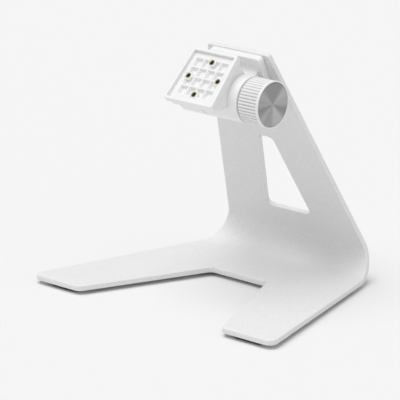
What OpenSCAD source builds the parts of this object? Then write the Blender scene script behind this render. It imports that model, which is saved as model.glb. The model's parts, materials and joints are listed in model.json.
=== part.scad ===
// Countertop display stand: one bent steel sheet with two splayed legs and a leaning
// upright, and a small tilting mount head that a side knob clamps on its hinge.
// X runs across the stand, -Y to the front, +Z up. The origin lies on the counter,
// in the middle of the stand's footprint.

/* [Sheet] */
// Thickness of the bent steel sheet
sheet_t = 4; // [3:0.5:6]
// Width over the outer corners of the two leg tips, before they are rounded
foot_span = 235; // [200:1:280]
// Width between the inner corners of the two leg tips
tip_gap = 139; // [110:1:165]
// Width of the notch between the legs at its back edge
notch_w = 54; // [40:1:70]
// Width of the sheet where its two flats would meet
bend_w = 142; // [120:1:170]
// Width of the upright at its top edge
top_w = 58; // [54:1:80]
// Length of the base from the bend corner to the leg tips
base_l = 174; // [145:1:210]
// Distance from the bend corner to the back of the notch
notch_back = 74; // [60:1:90]
// Length of the upright from the bend corner to its top edge
upright_l = 189; // [160:1:230]
// Forward lean of the upright from the vertical, in degrees
lean = 24; // [10:1:35]
// Inner radius of the bend
bend_r = 17; // [10:1:25]
// Rounding of the leg tips' corners
tip_r = 6; // [2:1:12]
// Rounding of the notch's two back corners
notch_r = 5; // [2:1:12]

/* [Window] */
// Width of the upright's window at its bottom edge
window_bottom_w = 44; // [30:1:60]
// Width of the window at its top edge
window_top_w = 13; // [8:1:24]
// Distance of the window's bottom edge from the bend corner
window_bottom_s = 41; // [35:1:55]
// Height of the window along the upright
window_h = 69; // [40:1:80]
// Rounding of the window's corners
window_r = 4; // [2:0.5:6]

/* [Feet] */
// Thickness of the rubber pads under the sheet
pad_t = 3; // [2:0.5:6]
// Length of a pad across the stand
pad_l = 30; // [20:1:36]
// Width of a pad from front to back
pad_w = 14; // [10:1:18]

/* [Hinge] */
// Distance of the tilt axis below the upright's top edge
axis_drop = 19; // [14:1:26]
// Distance of the barrel in front of the upright
axis_gap = 11; // [8:0.5:24]
// Upward tilt of the mount face from the vertical, in degrees
face_tilt = 45; // [25:1:65]
// How far the head tips back from there, in degrees
tip_back = 20; // [0:1:20]
// How far the head tips forward from there, in degrees
tip_forward = 45; // [0:1:60]
// Diameter of the hinge barrel and of the head's knuckle
barrel_d = 35; // [32:0.5:40]
// Length of the fixed barrel
barrel_l = 35; // [30:1:45]
// Length of the head's knuckle
knuckle_l = 22.5; // [20:0.5:30]
// Place of the friction ring between knuckle and barrel, left of the middle
split_x = 5; // [3:0.5:8]
// Diameter of the clamp spindle
spindle_d = 8; // [6:1:10]
// Thickness of a friction ring
ring_t = 1; // [0.8:0.1:2]

/* [Bracket] */
// Width of the bracket's plate
bracket_w = 49; // [46:1:54]
// Height of the bracket's plate
bracket_h = 42; // [36:1:48]
// Thickness of the bracket's plate with its rim
bracket_t = 5.5; // [5:0.5:8]
// Depth of the recess in the bracket's front
recess_d = 1.3; // [0.8:0.1:2]
// Width of the rim round that recess
bracket_rim = 4.5; // [3:0.5:6]

/* [Mount tray] */
// Width of the mount tray at its bottom edge
tray_w = 47; // [44:1:60]
// Width of the tray at its top edge
tray_top_w = 42.5; // [40:0.5:60]
// Height of the tray
tray_h = 45.5; // [44:0.5:60]
// Thickness of the tray's rim plate
tray_t = 5; // [4.5:0.5:7]
// Distance of the tray's face in front of the barrel
tray_gap = 9.1; // [8.6:0.1:14]
// How far the tray's middle lies below the tilt axis, along the face
tray_drop = 3.3; // [0:0.1:6]
// Width of the tray's raised rim
tray_rim = 2.4; // [1.6:0.2:4]
// Depth of the pocket inside the rim
pocket_d = 2.6; // [0.8:0.1:3]
// Pitch of the square ribs in the pocket
rib_pitch = 8; // [8:0.5:9]
// Depth of the cells between the ribs
cell_d = 3.6; // [3:0.1:5]
// Diameter of the circle through the four mounting inserts
insert_pcd = 28; // [24:1:28]
// Bore of a mounting insert
insert_bore = 3; // [2.5:0.5:4]

/* [Knob] */
// Outer diameter of the clamp knob
knob_d = 35; // [32:1:42]
// Length of the knob
knob_l = 19; // [16:1:26]
// Width of the ring round the metal disc in the knob's face
cap_rim = 1; // [0.8:0.1:3]
// Number of grip ribs round the knob
rib_count = 44; // [30:1:60]
// Lead of the spindle's thread
thread_lead = 1.25; // [0.75:0.25:1.75]
// Gap between knob and barrel when clamped
knob_gap = 1; // [0.5:0.1:2]

/* [Fits] */
// Radial clearance of a shaft that turns in its bore
run_gap = 0.05; // [0.02:0.01:0.1]
// Gap between moulded pieces that fit into each other
mould_gap = 0.1; // [0.05:0.05:0.3]
// Gap round curved faces that sweep past each other
sweep_gap = 0.4; // [0.3:0.1:1]

/* [Hidden] */
$fn = 64;
over = 0.01;
barrel_r = barrel_d / 2;
axis_n = barrel_r + axis_gap;
tray_reach = barrel_r + tray_gap;
base_top = pad_t + sheet_t;
bend_turn = 90 + lean;
bend_tangent = bend_r * tan(bend_turn / 2);
base_taper = (foot_span - bend_w) / 2 / base_l;
upright_taper = (bend_w - top_w) / 2 / upright_l;
top_r = 3;
bend_start_w = bend_w / 2 + base_taper * bend_tangent;
bend_end_w = bend_w / 2 - upright_taper * bend_tangent;
bend_steps = 4;
back_y = bend_r + sheet_t - bend_tangent;
centre_y = (base_l - back_y) / 2;
front_pad_edge = 4;
rear_pad_edge = 6;
rear_pad_gap = 2;
axis_s = upright_l - axis_drop;
axis_y = -axis_s * sin(lean) - axis_n * cos(lean);
axis_z = base_top + axis_s * cos(lean) - axis_n * sin(lean);

barrel_x = -split_x;
barrel_end = barrel_x + barrel_l;
knuckle_end = -split_x - ring_t;
knuckle_x = knuckle_end - knuckle_l;

spindle_r = spindle_d / 2;
bush_wall = 1.5;
bush_r = spindle_r + run_gap + bush_wall;
bush_l = 10;
ring_gap = 0.3;
loose_gap = 0.2;
bore_gap = 0.6;
neck_over = 0.3;
neck_half = spindle_r + neck_over;
neck_l = 5;
dome_r = spindle_r * 2;
dome_t = 4;
dome_in = 4;
dome_back = knuckle_x + dome_in;
plug_t = 3;
plug_lip = 2.5;
plug_r = dome_r + plug_lip;
plug_hollow = 1;
washer_over = 2;
washer_r = dome_r + washer_over;
pin_r = 1.5;
pin_ring = 13;
pin_deep = 6;
pin_out = 3;
pin_land = 1;
stop_spare = 8;

bracket_screw_r = 2;
screw_side = 7.5;
screw_top = 7.4;
screw_low = 8.6;
bracket_screw_in = 3.4;
screw_hole_gap = 0.25;
lock_t = 1;
pan_r = 3.9;
pan_top_r = 3.2;
pan_t = 2.6;
socket_r = 1.45;
socket_deep = 1.5;
bracket_insert_r = 2.8;
bracket_insert_l = 3.8;
bracket_edge = 0.6;
bracket_top = axis_drop - bracket_edge;
bracket_low = bracket_top - bracket_h;
bracket_screw_x = bracket_w / 2 - screw_side;
bracket_corner_r = 3;
recess_corner_r = 2;
neck_low = -0.8 * barrel_r;
neck_top = 0.514 * barrel_r;
neck_wall = 3;

head_screw_r = 1.25;
head_screw_in = 3.7;
head_screw_l = 6;
seat_depth = 3.6;
head_t = 1.6;
head_r = 2.2;
screw_spare = 0.4;

tray_r = 2;
pocket_r = 1;
block_r = 1.5;
housing_r = 3;
block_edge = 1.2;

block_half = 2 * rib_pitch + block_edge;
cell_floor_t = 1.2;
block_z = tray_reach - pocket_d - cell_d - cell_floor_t;
rib_t = 1;
boss_r = 3.3;
insert_r = 2.4;
insert_l = 4.2;
housing_in = 1.2;
housing_z = tray_reach - tray_t;
housing_rim = 4.4;
taper_half = 0.829 * barrel_r;
taper_z = 0.571 * barrel_r;

knob_r = knob_d / 2;
cap_r = knob_r - cap_rim;
knob_x = barrel_end + knob_gap;
knob_end = knob_x + knob_l;
washer_t = 1.5;
spring_t = 2.5;
washer_x = barrel_end + ring_t;
nut_x = washer_x + washer_t + spring_t;
nut_r = 6.5;
nut_l = 9;
nut_end = nut_x + nut_l;
cap_t = 1.2;
smooth_l = 2;
travel = 1.5 * thread_lead;
clip_play = 0.1;
clip_x = nut_end + travel + clip_play;
clip_t = 0.8;
clip_deep = 0.8;
clip_out = 2.2;
spindle_tip = 0.3;
spindle_end = clip_x + clip_t + spindle_tip;

grip_root = 0.9;
grip_in = 0.2;
grip_steps = [0.05, 0.25, 0.45, 0.85];
spring_wall = 0.7;
disc_in = 0.1;

white = [0.94, 0.94, 0.94];
coated = [0.90, 0.90, 0.90];
rubber_grey = [0.25, 0.25, 0.25];
steel = [0.68, 0.69, 0.70];
brass = [0.80, 0.66, 0.36];
fibre = [0.42, 0.40, 0.37];

// Outline through the points, counter-clockwise, each corner rounded by its own radius.
module rounded_outline(points, radii) {
    n = len(points);
    corners = [for (i = [0 : n - 1])
        let (a = points[(i + n - 1) % n], b = points[i], c = points[(i + 1) % n],
             u = (a - b) / norm(a - b), v = (c - b) / norm(c - b), half = acos(u * v) / 2)
        [b + u * radii[i] / tan(half), b + v * radii[i] / tan(half),
         b + (u + v) / norm(u + v) * radii[i] / sin(half), cross(b - a, c - b) > 0, radii[i]]];
    difference() {
        union() {
            polygon([for (k = corners) each [k[0], k[1]]]);
            for (k = corners) if (k[3]) translate(k[2]) circle(k[4]);
        }
        for (k = corners) if (!k[3]) translate(k[2]) circle(k[4]);
    }
}

// Rectangle about the origin with rounded corners.
module rounded_rect(w, h, r) {
    rounded_outline([[-w / 2, -h / 2], [w / 2, -h / 2], [w / 2, h / 2], [-w / 2, h / 2]], [r, r, r, r]);
}

// Cylinder along X from one place to another.
module rod_x(from, to, r) {
    translate([from, 0, 0]) rotate([0, 90, 0]) cylinder(h = to - from, r = r);
}

// Ring along X, its bore cut through.
module ring_x(from, to, r, bore) {
    difference() {
        rod_x(from, to, r);
        rod_x(from - 1, to + 1, bore);
    }
}

// The stand's own place: bend corner above the origin's line.
module in_stand() {
    translate([0, centre_y, 0]) children();
}

// Y up along the upright, Z out of its front face, origin at the bend corner.
module on_upright() {
    in_stand() translate([0, 0, base_top]) rotate([bend_turn, 0, 0]) children();
}

// The same directions, origin on the tilt axis.
module at_bracket() {
    on_upright() translate([0, axis_s, axis_n]) children();
}

// Y up along the mount face, Z out of it, origin on the tilt axis.
module at_head() {
    in_stand() translate([0, axis_y, axis_z]) rotate([90 - face_tilt, 0, 0]) children();
}

// Places children at the bracket's four screws.
module at_bracket_screws() {
    for (x = [-bracket_screw_x, bracket_screw_x], y = [bracket_top - screw_top, bracket_low + screw_low])
        translate([x, y, -axis_n]) children();
}

// Places children at the four mounting inserts, on the tray's face.
module at_inserts() {
    for (a = [0 : 90 : 270])
        translate([insert_pcd / 2 * cos(a), insert_pcd / 2 * sin(a) - tray_drop, tray_reach - pocket_d])
            children();
}

// Half the tray's width at a height above or below its middle.
function tray_half(y) = (tray_w + tray_top_w) / 4 - (tray_w - tray_top_w) / 2 * y / tray_h;

// Tray's outline, drawn in by a margin: a trapezium that is wider at its bottom edge.
module tray_outline(margin, r) {
    y = tray_h / 2 - margin;
    low = tray_half(-y) - margin;
    high = tray_half(y) - margin;
    rounded_outline([[-low, -y], [low, -y], [high, y], [-high, y]], [r, r, r, r]);
}

// Places children at the four screws that join tray and housing.
module at_head_screws() {
    reach = tray_h / 2 - head_screw_in;
    for (side = [-1, 1], y = [-reach, reach])
        translate([side * (tray_half(y) - head_screw_in), y - tray_drop, housing_z]) children();
}

// Flat outline of the base from the leg tips to the start of the bend.
module base_outline() {
    rounded_outline(
        [[-foot_span / 2, -base_l], [-tip_gap / 2, -base_l], [-notch_w / 2, -notch_back],
         [notch_w / 2, -notch_back], [tip_gap / 2, -base_l], [foot_span / 2, -base_l],
         [bend_start_w, -bend_tangent], [-bend_start_w, -bend_tangent]],
        [tip_r, tip_r, notch_r, notch_r, tip_r, tip_r, 0, 0]);
}

// Flat outline of the upright from the end of the bend to its top edge.
module upright_outline() {
    difference() {
        rounded_outline(
            [[-bend_end_w, bend_tangent], [bend_end_w, bend_tangent], [top_w / 2, upright_l],
             [-top_w / 2, upright_l]], [0, 0, top_r, top_r]);
        rounded_outline(
            [[-window_bottom_w / 2, window_bottom_s], [window_bottom_w / 2, window_bottom_s],
             [window_top_w / 2, window_bottom_s + window_h],
             [-window_top_w / 2, window_bottom_s + window_h]],
            [window_r, window_r, window_r, window_r]);
    }
}

// Side view of the whole sheet at full width: flat base, bend, leaning upright.
module sheet_strip() {
    outer_r = bend_r + sheet_t;
    far = 3 * outer_r;
    lean_dir = [-sin(lean), cos(lean)];
    back_dir = [cos(lean), sin(lean)];
    start = [-bend_tangent, base_top];
    end = bend_tangent * lean_dir + [0, base_top];
    middle = [-bend_tangent, base_top + bend_r];
    top = upright_l * lean_dir + [0, base_top];
    in_stand() translate([-foot_span / 2, 0, 0]) rotate([90, 0, 90]) linear_extrude(foot_span) union() {
        polygon([[-base_l, pad_t], [-bend_tangent, pad_t], start, [-base_l, base_top]]);
        polygon([end, end + sheet_t * back_dir, top + sheet_t * back_dir, top]);
        difference() {
            intersection() {
                translate(middle) circle(outer_r);
                polygon([middle, middle - [0, far], middle + [far, -far], middle + far * back_dir]);
            }
            translate(middle) circle(bend_r);
        }
    }
}

// Prism that trims one step of the bend to the sheet's taper; it laps its neighbours.
module bend_trim(i) {
    step = bend_turn / bend_steps;
    mid_r = bend_r + sheet_t / 2;
    fall = (bend_start_w - bend_end_w) / bend_steps;
    mid_w = bend_start_w - fall * (i + 0.5);
    slope = fall / (2 * mid_r * sin(step / 2));
    lap = 0.1;
    low = (bend_r - 1) * tan(step / 2) + lap;
    high = (bend_r + sheet_t + 1) * tan(step / 2) + lap;
    in_stand() translate([0, -bend_tangent, base_top + bend_r]) rotate([0, 90, 0])
        rotate([0, 0, step * (i + 0.5)]) intersection() {
            translate([0, 0, -foot_span]) linear_extrude(2 * foot_span)
                polygon([[bend_r - 1, -low], [bend_r + sheet_t + 1, -high],
                         [bend_r + sheet_t + 1, high], [bend_r - 1, low]]);
            rotate([90, 0, 90]) linear_extrude(bend_r + 2 * sheet_t)
                polygon([[-2 * high, -mid_w - 2 * slope * high], [2 * high, -mid_w + 2 * slope * high],
                         [2 * high, mid_w - 2 * slope * high], [-2 * high, mid_w + 2 * slope * high]]);
        }
}

// Legs, base, bend and upright in one bent sheet.
module stand_sheet() {
    color(coated) difference() {
        intersection() {
            sheet_strip();
            union() {
                in_stand() translate([0, 0, pad_t - 1]) linear_extrude(sheet_t + 2) base_outline();
                for (i = [0 : bend_steps - 1]) bend_trim(i);
                on_upright() translate([0, 0, -sheet_t - 1]) linear_extrude(sheet_t + 2) upright_outline();
            }
        }
        at_bracket() at_bracket_screws()
            translate([0, 0, -sheet_t - 1]) cylinder(h = sheet_t + 2, r = bracket_screw_r + screw_hole_gap);
    }
}

// One rubber pad with rounded ends, standing on the counter.
module pad(x, y) {
    in_stand() translate([x, y, 0]) linear_extrude(pad_t) rounded_rect(pad_l, pad_w, pad_w / 2 - over);
}

// Pads under the two leg tips.
module front_pads() {
    pad_x = (foot_span + tip_gap) / 4 - front_pad_edge;
    pad_y = -base_l + pad_w / 2 + front_pad_edge;
    color(rubber_grey) {
        pad(-pad_x, pad_y);
        pad(pad_x, pad_y);
    }
}

// Pads under the back corners of the base.
module rear_pads() {
    pad_x = bend_w / 2 - pad_l / 2 - rear_pad_edge;
    pad_y = -bend_tangent - pad_w / 2 - rear_pad_gap;
    color(rubber_grey) {
        pad(-pad_x, pad_y);
        pad(pad_x, pad_y);
    }
}

// Plate with a raised rim on the upright, and the fixed barrel on its cored neck.
module hinge_bracket() {
    neck_w = bracket_w / 2 - bracket_rim + split_x;
    color(white) at_bracket() difference() {
        union() {
            difference() {
                translate([0, (bracket_top + bracket_low) / 2, -axis_n])
                    linear_extrude(bracket_t) rounded_rect(bracket_w, bracket_h, bracket_corner_r);
                translate([0, (bracket_top + bracket_low) / 2, -axis_n + bracket_t - recess_d])
                    linear_extrude(recess_d + 1)
                        rounded_rect(bracket_w - 2 * bracket_rim, bracket_h - 2 * bracket_rim,
                                     recess_corner_r);
            }
            translate([barrel_x, neck_low, -axis_n + bracket_t - recess_d - over])
                cube([neck_w, neck_top - neck_low, axis_n - bracket_t + recess_d]);
            rod_x(barrel_x, barrel_end, barrel_r);
        }
        translate([barrel_x + neck_wall, neck_low + neck_wall, -axis_n - 1])
            cube([neck_w - 2 * neck_wall, neck_top - neck_low - 2 * neck_wall,
                  axis_n + 1 - bush_r - neck_wall]);
        rod_x(barrel_x - 1, barrel_x + bush_l, bush_r);
        rod_x(barrel_end - bush_l, barrel_end + 1, bush_r);
        rod_x(barrel_x, barrel_end, spindle_r + bore_gap);
        at_bracket_screws() translate([0, 0, -1]) cylinder(h = bracket_insert_l + 1, r = bracket_insert_r);
        stop_groove();
    }
}

// Arc groove in the barrel's end that the stop pin runs in; angles from the upright's direction.
module stop_groove() {
    rest = 270 - face_tilt - lean;
    translate([barrel_x - 1, 0, 0]) rotate([0, 90, 0]) rotate([0, 0, rest - tip_back - stop_spare])
        rotate_extrude(angle = tip_back + tip_forward + 2 * stop_spare)
            translate([pin_ring - pin_r - sweep_gap, 0]) square([2 * (pin_r + sweep_gap), pin_out + 2]);
}

// Brass inserts moulded into the back of the bracket.
module bracket_inserts() {
    color(brass) at_bracket() at_bracket_screws() difference() {
        cylinder(h = bracket_insert_l, r = bracket_insert_r);
        translate([0, 0, -1]) cylinder(h = bracket_insert_l + 2, r = bracket_screw_r + run_gap);
    }
}

// Pan-head screws from behind the upright into the bracket.
module bracket_screws() {
    color(steel) at_bracket() at_bracket_screws() {
        translate([0, 0, -sheet_t - lock_t])
            cylinder(h = sheet_t + lock_t + bracket_screw_in, r = bracket_screw_r);
        translate([0, 0, -sheet_t - lock_t]) difference() {
            rotate([180, 0, 0]) cylinder(h = pan_t, r1 = pan_r, r2 = pan_top_r);
            rotate([180, 0, 0]) translate([0, 0, pan_t - socket_deep])
                cylinder(h = socket_deep + 1, r = socket_r, $fn = 6);
        }
    }
}

// Lock washers under the screw heads.
module lock_washers() {
    color(steel) at_bracket() at_bracket_screws() translate([0, 0, -sheet_t - lock_t]) difference() {
        cylinder(h = lock_t, r = pan_r);
        translate([0, 0, -1]) cylinder(h = lock_t + 2, r = bracket_screw_r + run_gap);
    }
}

// Bush in the knuckle end of the fixed barrel.
module inner_bush() {
    color(brass) at_bracket() ring_x(barrel_x, barrel_x + bush_l, bush_r, spindle_r + run_gap);
}

// Bush in the knob end of the fixed barrel.
module outer_bush() {
    color(brass) at_bracket() ring_x(barrel_end - bush_l, barrel_end, bush_r, spindle_r + run_gap);
}

// Friction ring between the head's knuckle and the barrel, inside the stop groove.
module inner_friction_ring() {
    color(fibre) at_bracket() ring_x(knuckle_end, barrel_x, pin_ring - pin_r - pin_land, spindle_r + ring_gap);
}

// Friction ring between the barrel and the thrust washer.
module outer_friction_ring() {
    color(fibre) at_bracket() ring_x(barrel_end, barrel_end + ring_t, washer_r, spindle_r + ring_gap);
}

// Tray with a raised rim, a ribbed pocket and four bosses.
module mount_tray() {
    floor_z = tray_reach - pocket_d;
    color(white) at_head() difference() {
        union() {
            translate([0, -tray_drop, housing_z]) linear_extrude(tray_t) tray_outline(0, tray_r);
            translate([0, -tray_drop, block_z]) linear_extrude(housing_z - block_z + over)
                rounded_rect(2 * block_half, 2 * block_half, block_r);
        }
        translate([0, -tray_drop, floor_z]) linear_extrude(pocket_d + 1) tray_outline(tray_rim, pocket_r);
        translate([0, -tray_drop, floor_z - cell_d]) linear_extrude(cell_d + 1) difference() {
            for (i = [-1.5 : 1 : 1.5], j = [-1.5 : 1 : 1.5])
                translate([i * rib_pitch, j * rib_pitch]) square(rib_pitch - rib_t, center = true);
            for (a = [0 : 90 : 270]) rotate(a) translate([insert_pcd / 2, 0]) circle(boss_r);
        }
        at_inserts() translate([0, 0, -insert_l]) cylinder(h = insert_l + 1, r = insert_r);
        at_head_screws() translate([0, 0, -1])
            cylinder(h = 1 + head_screw_l - seat_depth + screw_spare, r = head_screw_r);
    }
}

// Threaded brass inserts for the display's screws.
module mounting_inserts() {
    color(brass) at_head() at_inserts() translate([0, 0, -insert_l]) difference() {
        cylinder(h = insert_l, r = insert_r);
        translate([0, 0, -1]) cylinder(h = insert_l + 2, r = insert_bore / 2);
    }
}

// Side profile of the housing: flat behind the tray, narrowing towards the barrel.
module housing_profile() {
    top = tray_h / 2 - housing_in - tray_drop;
    low = housing_in - tray_h / 2 - tray_drop;
    rim_z = housing_z - housing_rim;
    polygon([[low, housing_z], [low, rim_z], [-taper_half, taper_z], [taper_half, taper_z],
             [top, rim_z], [top, housing_z]]);
}

// Housing behind the tray: saddle round the fixed barrel and the head's own knuckle.
module head_housing() {
    color(white) at_head() difference() {
        union() {
            intersection() {
                translate([-tray_w / 2, 0, 0]) rotate([90, 0, 90]) linear_extrude(tray_w) housing_profile();
                translate([0, -tray_drop, 0]) linear_extrude(housing_z) tray_outline(housing_in, housing_r);
            }
            rod_x(knuckle_x, knuckle_end, barrel_r);
        }
        rod_x(knuckle_end, tray_w, barrel_r + sweep_gap);
        translate([0, -tray_drop, block_z - mould_gap]) linear_extrude(tray_t)
            rounded_rect(2 * (block_half + mould_gap), 2 * (block_half + mould_gap), block_r);
        at_head_screws() {
            translate([0, 0, -seat_depth]) cylinder(h = seat_depth + 1, r = head_screw_r + loose_gap);
            translate([0, 0, -seat_depth - barrel_r]) cylinder(h = barrel_r, r = head_r + loose_gap);
        }
        rod_x(knuckle_x - 1, dome_back + dome_t, dome_r + mould_gap);
        rod_x(knuckle_x - 1, knuckle_x + plug_t, plug_r + mould_gap);
        rod_x(knuckle_x, knuckle_end + 1, spindle_r + loose_gap);
        translate([dome_back + dome_t - 1, -neck_half - mould_gap, -neck_half - mould_gap])
            cube([neck_l + 1 + loose_gap, 2 * (neck_half + mould_gap), 2 * (neck_half + mould_gap)]);
        translate([0, -pin_ring, 0]) rod_x(knuckle_end - pin_deep, knuckle_end + 1, pin_r);
    }
}

// Screws from the housing's back into the tray.
module housing_screws() {
    color(steel) at_head() at_head_screws() {
        translate([0, 0, -seat_depth]) cylinder(h = head_screw_l, r = head_screw_r);
        translate([0, 0, -seat_depth - head_t]) cylinder(h = head_t, r = head_r);
    }
}

// Spindle through both knuckles: domed head, square neck, round shank.
module clamp_spindle() {
    neck_x = dome_back + dome_t;
    color(steel) at_head() difference() {
        union() {
            rod_x(dome_back, neck_x, dome_r);
            translate([neck_x - over, -neck_half, -neck_half]) cube([neck_l + over, 2 * neck_half, 2 * neck_half]);
            rod_x(neck_x, spindle_end, spindle_r);
        }
        ring_x(clip_x, clip_x + clip_t, spindle_r + 1, spindle_r - clip_deep);
    }
}

// Plug that closes the knuckle's outer end.
module end_plug() {
    color(white) at_head() difference() {
        rod_x(knuckle_x, knuckle_x + plug_t, plug_r);
        rod_x(knuckle_x + plug_t - plug_hollow, knuckle_x + plug_t + 1, dome_r - plug_hollow);
    }
}

// Steel pin in the knuckle that ends the tilt against the groove's ends.
module tilt_stop_pin() {
    color(steel) at_head() translate([0, -pin_ring, 0])
        rod_x(knuckle_end - pin_deep, knuckle_end + ring_t + pin_out, pin_r);
}

// Clip in the spindle's groove that keeps the knob on.
module retaining_clip() {
    color(steel) at_head() difference() {
        ring_x(clip_x, clip_x + clip_t, spindle_r + clip_out, spindle_r - clip_deep);
        translate([clip_x - 1, -clip_out, 0]) cube([clip_t + 2, 2 * clip_out, spindle_d + clip_out]);
    }
}

// Hardened washer between the friction ring and the springs.
module thrust_washer() {
    color(steel) at_head() ring_x(washer_x, washer_x + washer_t, washer_r, spindle_r + loose_gap);
}

// Two coned spring washers, stacked to lean apart.
module disc_springs() {
    half = spring_t / 2;
    inner = spindle_r + loose_gap;
    outer = dome_r;
    color(steel) at_head() translate([washer_x + washer_t, 0, 0]) rotate([0, 90, 0]) {
        rotate_extrude() polygon([[outer, 0], [outer, spring_wall], [inner, half], [inner, half - spring_wall]]);
        rotate_extrude() polygon([[inner, half], [inner, half + spring_wall], [outer, spring_t],
                                  [outer, spring_t - spring_wall]]);
    }
}

// Outline of the knob's grip: straight-sided ribs round a circle.
module grip_outline() {
    pitch = 360 / rib_count;
    root = knob_r - grip_root;
    tip = knob_r - grip_in;
    radii = [root, root, tip, tip];
    polygon([for (i = [0 : rib_count - 1], k = [0 : 3])
        radii[k] * [cos(pitch * (i + grip_steps[k])), sin(pitch * (i + grip_steps[k]))]]);
}

// Knob with a ribbed grip, a smooth front ring and a hollow for the nut and washers.
module knob_grip() {
    hollow_r = washer_r + bore_gap;
    color(white) at_head() difference() {
        union() {
            translate([knob_x, 0, 0]) rotate([0, 90, 0]) linear_extrude(knob_l - smooth_l + over) grip_outline();
            rod_x(knob_end - smooth_l, knob_end, knob_r);
        }
        rod_x(knob_x - 1, nut_x, hollow_r);
        rod_x(nut_x - 1, nut_end, nut_r);
        rod_x(nut_end - over, knob_end - cap_t + over, hollow_r);
        rod_x(knob_end - cap_t, knob_end + 1, cap_r);
    }
}

// Brass nut moulded into the knob.
module knob_nut() {
    color(brass) at_head() ring_x(nut_x, nut_end, nut_r, spindle_r + run_gap);
}

// Brushed metal disc in the knob's face.
module knob_disc() {
    color(steel) at_head() rod_x(knob_end - cap_t, knob_end - disc_in, cap_r);
}

stand_sheet();
front_pads();
rear_pads();
hinge_bracket();
bracket_inserts();
bracket_screws();
lock_washers();
inner_bush();
outer_bush();
inner_friction_ring();
outer_friction_ring();
mount_tray();
mounting_inserts();
head_housing();
housing_screws();
clamp_spindle();
end_plug();
tilt_stop_pin();
retaining_clip();
thrust_washer();
disc_springs();
knob_grip();
knob_nut();
knob_disc();
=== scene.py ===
"""Countertop display stand: its visible pieces, their finishes and a small studio."""

import json
import math

import bmesh
import bpy
import numpy as np
from bpy.props import FloatProperty, FloatVectorProperty, IntProperty, PointerProperty
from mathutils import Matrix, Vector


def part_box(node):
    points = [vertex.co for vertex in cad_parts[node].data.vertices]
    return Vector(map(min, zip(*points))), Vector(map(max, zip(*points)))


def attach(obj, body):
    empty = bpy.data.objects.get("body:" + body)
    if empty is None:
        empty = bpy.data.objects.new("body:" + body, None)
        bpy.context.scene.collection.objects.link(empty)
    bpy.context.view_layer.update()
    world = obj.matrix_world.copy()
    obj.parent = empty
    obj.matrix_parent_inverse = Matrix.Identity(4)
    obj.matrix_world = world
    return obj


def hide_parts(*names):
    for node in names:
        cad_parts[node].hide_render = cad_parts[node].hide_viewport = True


bl_info = {
    "name": "Countertop Display Stand",
    "version": (1, 0, 0),
    "blender": (4, 5, 0),
    "location": "View3D > Sidebar > Stand",
    "description": "Builds a bent-sheet display stand with a tilting mount head",
    "category": "Add Mesh",
}

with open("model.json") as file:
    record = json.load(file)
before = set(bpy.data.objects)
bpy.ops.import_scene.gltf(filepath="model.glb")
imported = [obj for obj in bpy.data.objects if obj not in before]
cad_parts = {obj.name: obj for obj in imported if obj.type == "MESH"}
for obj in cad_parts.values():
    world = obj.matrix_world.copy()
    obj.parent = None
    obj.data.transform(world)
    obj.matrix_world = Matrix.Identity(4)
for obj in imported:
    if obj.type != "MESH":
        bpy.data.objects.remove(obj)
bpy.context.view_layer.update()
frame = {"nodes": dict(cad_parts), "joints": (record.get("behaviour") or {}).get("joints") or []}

MM = 0.001
PI = math.pi
SHARP = 1e-9
TILT = next(j for j in frame["joints"] if j["name"] == "head_tilt")
AXIS = np.array(TILT["pos_m"], float)
SHEET_LOW, SHEET_HIGH = (np.array(corner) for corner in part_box("stand_sheet"))


def length(name, text, millimetres):
    """A length property with its default given in millimetres."""
    return FloatProperty(
        name=name, description=text, default=millimetres * MM, min=0.0, unit="LENGTH", precision=5
    )


def colour(name, text, value):
    """A colour property in linear red, green and blue."""
    return FloatVectorProperty(
        name=name, description=text, default=value, size=3, min=0.0, max=1.0, subtype="COLOR"
    )


class StandSheetSizes(bpy.types.PropertyGroup):
    """Sizes of the bent sheet with its legs and its leaning upright."""

    thickness: length("Thickness", "Thickness of the sheet", 4)
    edge: length("Edge rounding", "Radius of the sheet's coated edges", 0.55)
    foot_span: length("Foot span", "Width over the outer corners of the leg tips", 235)
    tip_gap: length("Tip gap", "Width between the inner corners of the leg tips", 139)
    notch_width: length("Notch width", "Width of the notch at its back", 54)
    bend_width: length("Bend width", "Width where the two flats would meet", 142)
    top_width: length("Top width", "Width of the upright at its top", 58)
    base_length: length("Base length", "From the bend corner to the leg tips", 174)
    notch_back: length("Notch back", "From the bend corner to the back of the notch", 74)
    upright_length: length("Upright length", "From the bend corner to the top edge", 189)
    bend_radius: length("Bend radius", "Inner radius of the bend", 17)
    tip_radius: length("Tip radius", "Rounding of the leg tips", 6)
    notch_radius: length("Notch radius", "Rounding of the notch's corners", 5)
    top_radius: length("Top radius", "Rounding of the upright's top corners", 3)
    window_bottom: length("Window bottom width", "Width of the window at its bottom", 44)
    window_top: length("Window top width", "Width of the window at its top", 13)
    window_start: length("Window start", "From the bend corner to the window", 41)
    window_height: length("Window height", "Height of the window along the upright", 69)
    window_radius: length("Window radius", "Rounding of the window's corners", 4)
    pad_length: length("Pad length", "Length of a foot pad across the stand", 30)
    lean: FloatProperty(
        name="Lean",
        description="Forward lean of the upright",
        default=math.radians(24),
        subtype="ANGLE",
    )


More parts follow.
